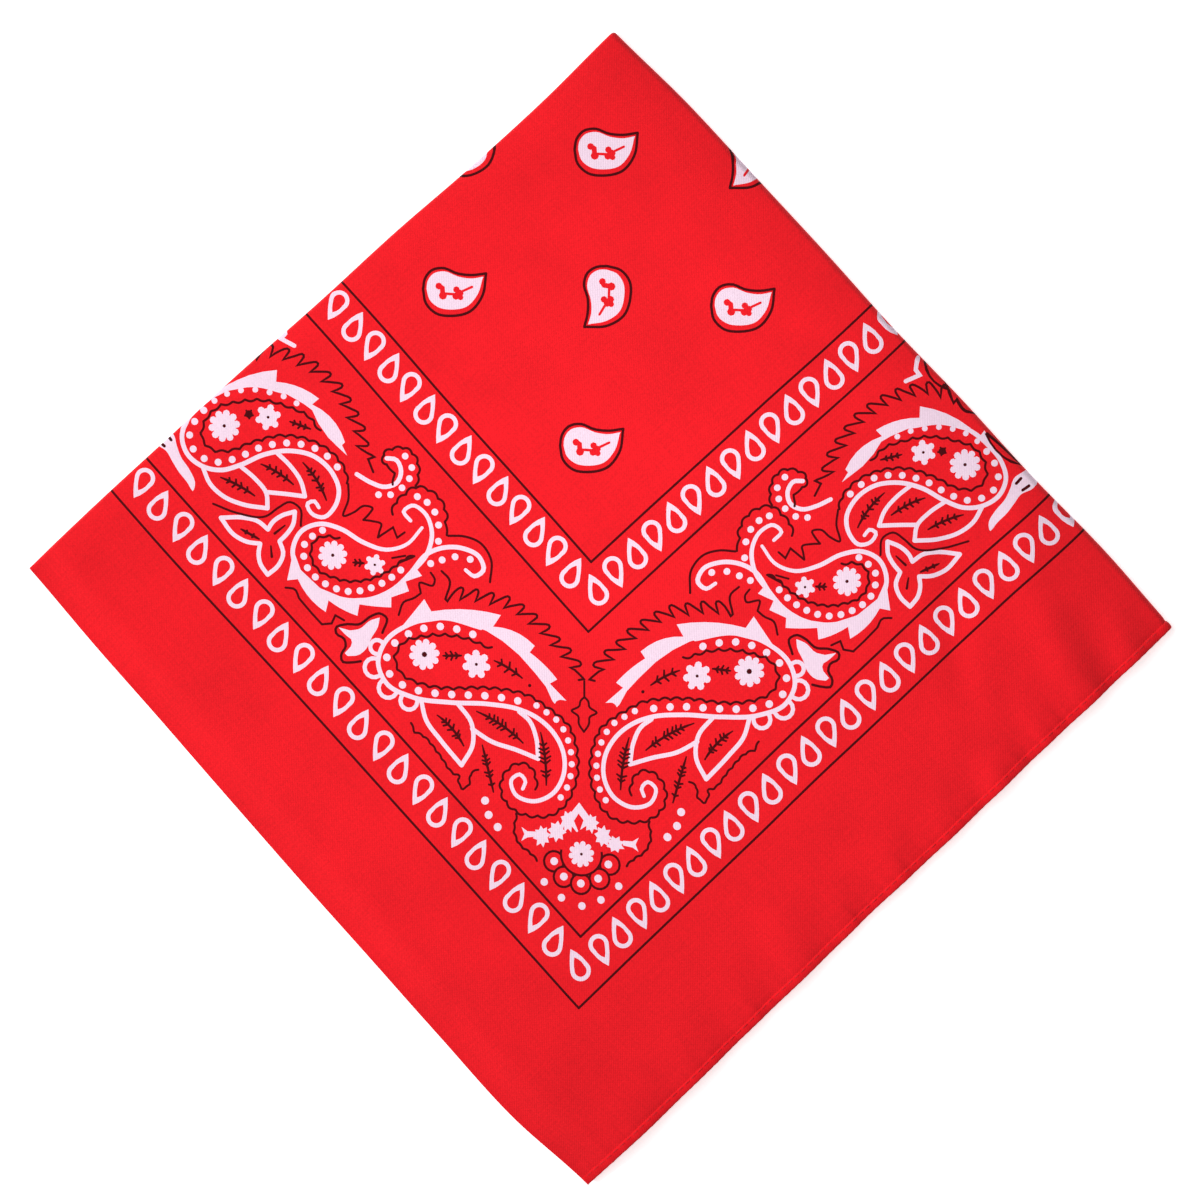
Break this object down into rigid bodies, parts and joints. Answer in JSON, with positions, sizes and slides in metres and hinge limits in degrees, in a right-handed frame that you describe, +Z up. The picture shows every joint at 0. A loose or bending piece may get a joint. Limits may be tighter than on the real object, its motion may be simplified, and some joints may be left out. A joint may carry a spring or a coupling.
{
  "type": "folded bandana",
  "caption": "Square printed cotton bandana, folded in quarters and lying flat, with rolled hems on one open side, woven selvedges on the other and two folded sides",
  "frame": {"origin": "middle of the plan of the folded packet, on the surface that it lies on", "axes": "+Z up, out of the face that shows; the first fold lies along +Y, the second fold along +X, the selvedges along -X and the rolled hems along -Y, so the middle of the whole square is the corner at +X +Y"},
  "size_m": [0.2788, 0.2822, 0.0068],
  "materials": {
    "cotton_cloth": "plain-woven cotton, matt, printed in white and near-black on bright red",
    "cotton_inner": "plain-woven cotton, matt, the same cloth where it is folded inside",
    "cotton_hem": "rolled cotton hem, matt, sewn with red thread"
  },
  "bodies": {
    "root": {"outer_layer": "cotton_cloth", "inner_layers": "cotton_inner", "hem_outer": "cotton_hem", "hem_inner": "cotton_hem"}
  },
  "joints": []
}
